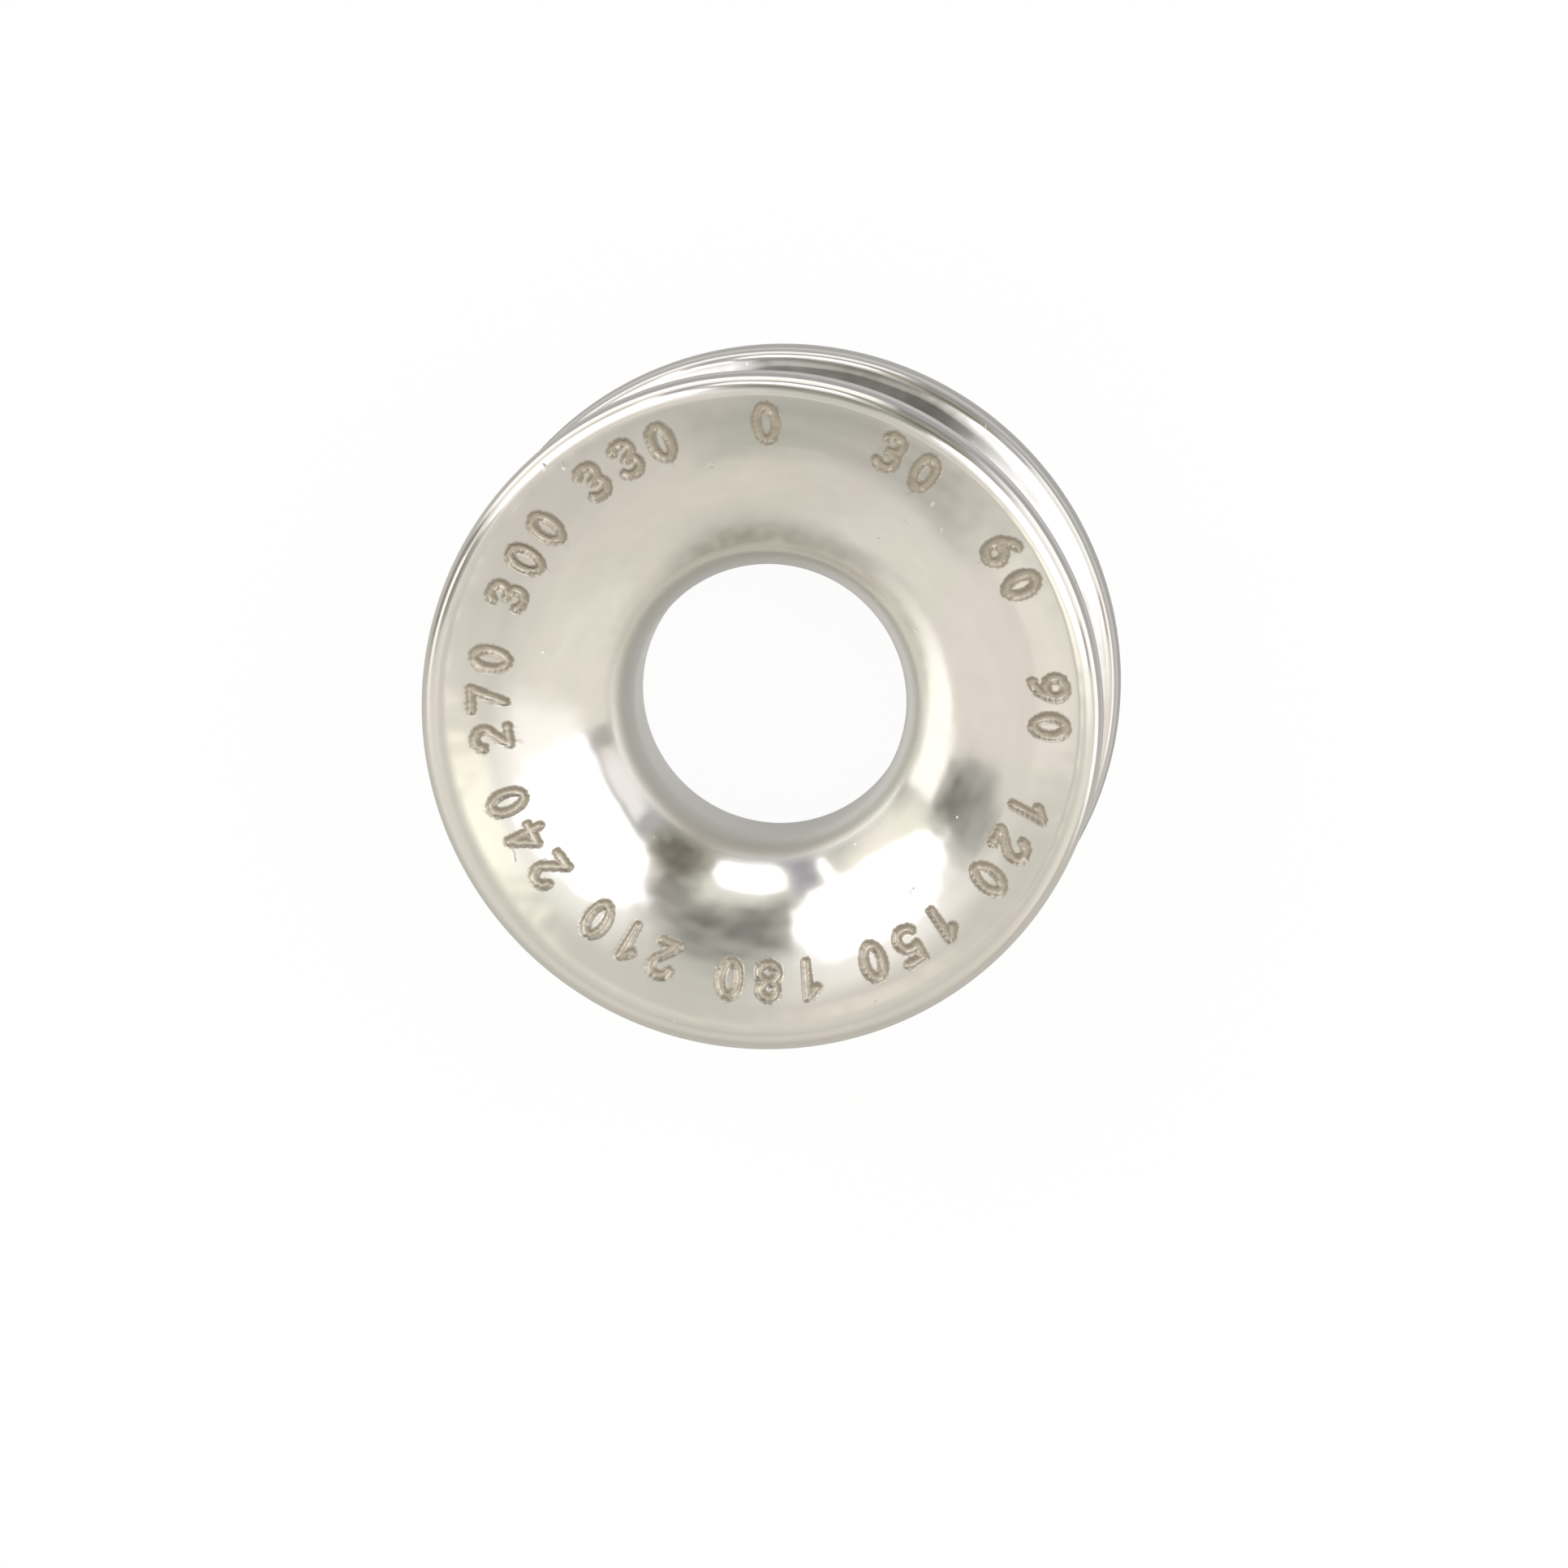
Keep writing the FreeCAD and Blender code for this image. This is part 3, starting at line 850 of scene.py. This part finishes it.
room = lay_patches(room, [
    (GREENISH_GREY, 0.12, [(-0.40, 0.62), (-0.42, 1.00), (-1.00, 0.90), (-0.72, 0.40)]),
    (GREY, 0.08, [(0.18, 0.74), (0.24, 1.05), (-0.36, 1.05), (-0.30, 0.70)]),
    (OLIVE, 0.08, [(0.52, 0.50), (0.66, 0.80), (0.60, 1.05), (0.16, 1.05), (0.14, 0.60), (0.26, 0.46)]),
    (LAVENDER, 0.04, [(-0.20, 0.56), (-0.20, 1.00), (-0.38, 1.00), (-0.33, 0.62), (-0.25, 0.56)]),
    (LIGHT_GREY, 0.05, [(0.42, 0.44), (0.58, 0.38), (0.86, 0.58), (0.66, 0.84)]),
    (PALE, 0.06, [(0.60, 0.12), (1.05, 0.20), (0.92, 0.66), (0.50, 0.42)]),
    (ROSY_GREY, 0.02, [(0.66, 0.00), (1.05, 0.00), (1.05, 0.18), (0.85, 0.14), (0.66, 0.12)]),
    (DARK_FRAME, 0.02, [(0.50, 0.00), (0.69, 0.00), (0.685, 0.11), (0.645, 0.24), (0.575, 0.36),
                        (0.50, 0.43), (0.42, 0.40)]),
    (SOFT_GLOOM, 0.07, [(-0.48, 0.00), (-0.36, 0.05), (-0.36, 0.11), (-0.48, 0.18), (-0.62, 0.23),
                        (-0.70, 0.22), (-0.72, 0.05), (-0.62, -0.01)]),
    (DEEP_GLOOM, 0.08, [(-0.52, 0.07), (-0.51, 0.13), (-0.58, 0.21), (-0.64, 0.20), (-0.64, 0.08),
                        (-0.58, 0.04)]),
    (DIM, 0.12, [(0.18, 0.20), (0.22, 0.40), (-0.20, 0.40), (-0.16, 0.20)]),
    (HALF_GLOOM, 0.07, [(0.17, 0.26), (0.25, 0.42), (0.24, 0.50), (0.12, 0.58), (-0.12, 0.60),
                        (-0.19, 0.52), (-0.15, 0.24)]),
    (GLOOM, 0.08, [(-0.09, 0.38), (0.10, 0.37), (0.13, 0.42), (0.07, 0.46), (-0.07, 0.48),
                   (-0.12, 0.46)]),
    (GLOOM, 0.05, [(0.19, 0.40), (0.255, 0.43), (0.25, 0.50), (0.20, 0.49)]),
    (OLIVE_GLOOM, 0.09, [(0.42, 0.47), (0.42, 0.60), (0.34, 0.67), (0.26, 0.67), (0.21, 0.58),
                         (0.23, 0.50), (0.32, 0.48)]),
])

# %% [markdown]
# The horizon shows in the rounded rim, squeezed into a line. Low down, the light comes in past a
# post on the window's side, and ends at a dark one on the left.

# %% The horizon
HORIZON_AZIMUTHS = (0, 34, 52, 68, 72, 153, 157, 176, 182, 325, 340, 360)
HORIZON_LEVELS = (1.15, 1.15, 0.36, 0.30, 1.10, 1.10, 0.28, 0.28, 0.55, 0.55, 1.15, 1.15)
HORIZON_SHARES = (1, 1, 1, 1, 1, 1, 1, 1, 0, 0, 1, 1)
HORIZON_TINT = np.array([1.0, 0.985, 0.95])

azimuth = np.degrees(side)
horizon = np.interp(azimuth, HORIZON_AZIMUTHS, HORIZON_LEVELS)[..., None] * HORIZON_TINT
low_down = smooth_step(0.84, 0.89, lean)
horizon_share = np.interp(azimuth, HORIZON_AZIMUTHS, HORIZON_SHARES) * low_down
room = mixed_shade(horizon_share, room, horizon)
print("the horizon's mean radiance is", round(float(horizon.mean()), 2))

# %% [markdown]
# Nothing in a real room is even. A sum of waves in seeded directions stands for all the small
# things there, faint on the walls and plainer in the gloom.

# %% Clutter
WAVES = 26
FAINT, PLAIN = 0.018, 0.15

clutterer = np.random.default_rng(7)
wave_turn = clutterer.uniform(0, 2 * math.pi, WAVES)
wave_pitch = clutterer.uniform(30, 130, WAVES)
wave_phase = clutterer.uniform(0, 2 * math.pi, WAVES)
across_waves = disc_x[..., None] * np.cos(wave_turn) + disc_y[..., None] * np.sin(wave_turn)
clutter = np.sin(across_waves * wave_pitch + wave_phase).sum(axis=-1) / math.sqrt(WAVES / 2)
gloominess = 1 - smooth_step(0.25, 0.60, room.mean(axis=-1))
room = room * (1 + (FAINT + PLAIN * gloominess) * clutter)[..., None]

# %% [markdown]
# The windows come last, brighter than white, so that their edges stay clean. Before them come the
# light that they throw on the walls, and a long strip of it on the left that fades to the front.

# %% Windows, and the light that they throw on the walls beside them
CREAM = (1.00, 0.97, 0.86)
SUNLIT = (1.13, 1.11, 1.04)
SOFT_LIGHT = (0.86, 0.84, 0.78)
GLOW = (1.00, 0.98, 0.93)
WARM_WHITE = (1.30, 1.27, 1.18)
STRIP_END = (0.74, 0.71, 0.64)
WINDOW = (1.8, 1.8, 1.8)

room = lay_patches(room, [
    (CREAM, 0.10, [(-0.40, 0.52), (-0.46, 0.58), (-0.60, 0.55), (-0.72, 0.42), (-0.72, 0.28),
                   (-0.58, 0.22)]),
    (SUNLIT, 0.12, [(0.20, -0.03), (0.35, -0.12), (0.62, -0.10), (0.66, 0.00), (0.40, 0.10)]),
    (SOFT_LIGHT, 0.10, [(-0.11, 0.57), (0.13, 0.50), (0.18, 0.58), (0.14, 0.66), (-0.12, 0.66)]),
    (GLOW, 0.14, [(-0.10, 0.10), (-0.10, 0.30), (-0.38, 0.30), (-0.38, 0.14), (-0.28, 0.06)]),
    (GLOW, 0.14, [(0.10, 0.00), (0.24, -0.06), (0.30, 0.30), (0.12, 0.28), (0.08, 0.12)]),
])
strip_shade = mixed_shade(smooth_step(0.22, 0.70, -disc_y), WARM_WHITE, STRIP_END)
strip = [(-0.50, -0.60), (-0.50, 0.18), (-1.10, 0.30), (-1.10, -0.80), (-0.60, -0.80)]
room = lay_patch(room, strip_shade, 0.04, strip, hole=(-0.06, -0.12, 0.70), within=0.905)
room = lay_patches(room, [
    (WINDOW, 0.025, [(0.20, 0.02), (0.62, 0.005), (0.66, 0.02), (0.655, 0.10), (0.62, 0.22),
                     (0.55, 0.34), (0.48, 0.41), (0.40, 0.45), (0.33, 0.44), (0.19, 0.34),
                     (0.175, 0.15)]),
    (WINDOW, 0.025, [(-0.16, 0.24), (-0.145, 0.40), (-0.18, 0.50), (-0.25, 0.57), (-0.40, 0.54),
                     (-0.50, 0.48), (-0.57, 0.40), (-0.60, 0.32), (-0.57, 0.24), (-0.50, 0.18),
                     (-0.30, 0.165)]),
    (WINDOW, 0.025, [(0.10, 0.61), (0.15, 0.64), (0.14, 0.72), (0.02, 0.74), (-0.16, 0.74),
                     (-0.19, 0.68), (-0.17, 0.62)]),
    (WINDOW, 0.02, [(-0.32, 0.53), (-0.345, 0.66), (-0.365, 0.69), (-0.385, 0.66), (-0.385, 0.53)]),
])
print("the room's mean radiance is", np.round(room.mean(axis=(0, 1)), 2))

# %% [markdown]
# The dome isn't seen by the camera. What the camera sees past the table is the world, plain white.

# %% Hang the dome
dome_mesh = bpy.data.meshes.new("dome")
dome_faces = grid_faces(DOME_ROWS, DOME_COLUMNS, 0).tolist() + [list(range(DOME_COLUMNS))]
dome_mesh.from_pydata(dome_points.reshape(-1, 3).tolist(), [], dome_faces)
shade = dome_mesh.attributes.new("shade", "FLOAT_COLOR", "POINT")
opaque = np.ones((*room.shape[:2], 1))
shade.data.foreach_set("color", np.concatenate([room, opaque], axis=-1).ravel())
glowing = bpy.data.materials.new("glowing_room")
glowing.use_nodes = True
glowing.cycles.emission_sampling = "NONE"
tree = glowing.node_tree
glow = add(tree, "ShaderNodeEmission")
kept = add(tree, "ShaderNodeAttribute", attribute_name="shade")
feed(tree, glow.inputs["Color"], kept.outputs["Color"])
feed(tree, tree.nodes["Material Output"].inputs["Surface"], glow.outputs[0])
dome_mesh.materials.append(glowing)
dome = bpy.data.objects.new("dome", dome_mesh)
dome.visible_camera = False
bpy.context.scene.collection.objects.link(dome)

world = bpy.data.worlds.new("white")
bpy.context.scene.world = world
world.use_nodes = True
world.node_tree.nodes["Background"].inputs["Color"].default_value = (1.0, 1.0, 1.0, 1.0)

# %% [markdown]
# The ring lies on a plain white table. Most of what the camera sees of it is a steady white, so the
# background stays clean, and the rest is the real light that falls there, which keeps a faint
# shadow. What the steel mirrors of the table is mostly painted light and shade, in zones by the
# distance from the axis, counted in SHADE_REACH: the place under the ring and its bore, in painted
# shade that is lighter to the left, a line of painted contact shade at its foot, the ring's own
# painted shadow, and the far table, whose colour goes by azimuth: painted light by the windows,
# painted shade at the posts between them, and duller in front.

# %% The table
TABLE_SIZE = 3.0
TABLE_WHITE = (0.93, 0.93, 0.93)
TABLE_ROUGHNESS = 0.9
STEADY_SHARE = 0.92
SHADE_REACH = 0.025
WHITE = (1.02, 1.02, 1.02)
# Colours the steel mirrors of the table: painted shade under and beside the ring, painted light and
# shade far off.
UNDER_RING = (0.60, 0.59, 0.58)
UNDER_RING_LEFT = (0.98, 0.97, 0.95)
CONTACT_SHADE = (0.40, 0.39, 0.385)
IN_SHADE = (0.40, 0.39, 0.405)
FAR_FRONT = (0.58, 0.56, 0.51)
FAR_WINDOW = (1.25, 1.24, 1.24)
FAR_DARK = (0.26, 0.25, 0.24)
FAR_STOPS = [(-180, FAR_FRONT), (-34, FAR_FRONT), (-22, FAR_WINDOW), (36, FAR_WINDOW),
             (55, FAR_DARK), (68, FAR_DARK), (72, FAR_WINDOW), (152, FAR_WINDOW), (158, FAR_DARK),
             (174, FAR_DARK), (180, FAR_FRONT)]
TOWARDS_WINDOW = (0.4, 0.9, 0.0)


def colour_by_azimuth(tree, vector, stops):
    """A radial gradient through a ramp with (azimuth in degrees, colour) stops, from -180 to 180."""
    turned = add(tree, "ShaderNodeTexGradient", gradient_type="RADIAL")
    feed(tree, turned.inputs["Vector"], vector)
    ramp = add(tree, "ShaderNodeValToRGB")
    feed(tree, ramp.inputs["Fac"], turned.outputs["Fac"])
    elements = ramp.color_ramp.elements
    elements.remove(elements[1])
    elements[0].position = 0.0
    elements[0].color = (*stops[0][1], 1.0)
    for azimuth, colour in stops[1:]:
        elements.new(azimuth / 360 + 0.5).color = (*colour, 1.0)
    return ramp.outputs["Color"]


bpy.ops.mesh.primitive_plane_add(size=TABLE_SIZE)
table = bpy.context.object
table.name = "table_top"
cover = bpy.data.materials.new("white_table")
cover.use_nodes = True
tree = cover.node_tree
matte = tree.nodes["Principled BSDF"]
feed(tree, matte.inputs["Base Color"], TABLE_WHITE)
feed(tree, matte.inputs["Roughness"], TABLE_ROUGHNESS)

# %% What the steel mirrors of the table
place = object_place(tree)
distance = vector_node(tree, "LENGTH", place, output="Value")
distance = math_node(tree, "DIVIDE", distance, SHADE_REACH)
window_side = vector_node(tree, "DOT_PRODUCT", place, TOWARDS_WINDOW, output="Value")
beside = blend_colour(tree, ramp_between(tree, window_side, -0.004, 0.012), FAR_FRONT, IN_SHADE)
to_right = vector_node(tree, "DOT_PRODUCT", place, (1.0, 0.0, 0.0), output="Value")
mirrored = blend_colour(tree, ramp_between(tree, to_right, -0.003, 0.0), UNDER_RING_LEFT, UNDER_RING)
zones = ((0.245, 0.260, CONTACT_SHADE), (0.272, 0.290, UNDER_RING), (0.32, 0.38, beside),
         (0.7, 1.1, colour_by_azimuth(tree, place, FAR_STOPS)))
for start, end, colour in zones:
    mirrored = blend_colour(tree, ramp_between(tree, distance, start, end), mirrored, colour)
print("the steel mirrors", 1 + len(zones), "zones of the table")

# %% What the camera sees of the table
rays = add(tree, "ShaderNodeLightPath")
glow = add(tree, "ShaderNodeEmission")
steady = blend_colour(tree, rays.outputs["Is Glossy Ray"], WHITE, mirrored)
feed(tree, glow.inputs["Color"], steady)
seen = math_node(tree, "MAXIMUM", rays.outputs["Is Camera Ray"], rays.outputs["Is Glossy Ray"])
seen = math_node(tree, "MAXIMUM", seen, rays.outputs["Is Transmission Ray"])
mixed = add(tree, "ShaderNodeMixShader")
feed(tree, mixed.inputs[0], math_node(tree, "MULTIPLY", seen, STEADY_SHARE))
feed(tree, mixed.inputs[1], matte.outputs[0])
feed(tree, mixed.inputs[2], glow.outputs[0])
feed(tree, tree.nodes["Material Output"].inputs["Surface"], mixed.outputs[0])
table.data.materials.append(cover)

# %% [markdown]
# The camera looks almost straight down, tilted by eleven degrees, through a long lens. The ring's
# centre doesn't fall on the middle of the picture, so the camera isn't aimed at it: its place is
# worked out from where the centre falls, with no shift of the lens.

# %% The camera
PICTURE = 1932
CENTRE_PIXEL = (953.8, 855.3)
PIXELS_PER_METRE = 65700.0
CAMERA_DISTANCE = 0.1948
TILT = math.radians(11.0)
TILT_TOWARDS = math.radians(55.7)
SENSOR = 36.0

axis_seen = Vector((-math.sin(TILT) * math.cos(TILT_TOWARDS),
                    -math.sin(TILT) * math.sin(TILT_TOWARDS), math.cos(TILT)))
right_seen = (Vector((1, 0, 0)) - axis_seen.x * axis_seen).normalized()
turn = Matrix((right_seen, axis_seen.cross(right_seen), axis_seen))
off_middle = Vector((CENTRE_PIXEL[0] - PICTURE / 2, PICTURE / 2 - CENTRE_PIXEL[1], 0))
centre_seen = off_middle / PIXELS_PER_METRE
eye = turn @ (Vector((0, 0, CAMERA_DISTANCE)) - centre_seen) + Vector((0, 0, middle))
lens = bpy.data.cameras.new("camera")
lens.sensor_width = SENSOR
lens.lens = PIXELS_PER_METRE * CAMERA_DISTANCE / PICTURE * SENSOR
lens.clip_start = 0.01
lens.clip_end = 10.0
camera = bpy.data.objects.new("camera", lens)
camera.matrix_world = Matrix.Translation(eye) @ turn.to_4x4()
bpy.context.scene.collection.objects.link(camera)
bpy.context.scene.camera = camera
bpy.context.scene.view_settings.view_transform = "Standard"
print("the camera stands", [round(v, 4) for v in eye], "with a lens of", round(lens.lens, 1), "mm")
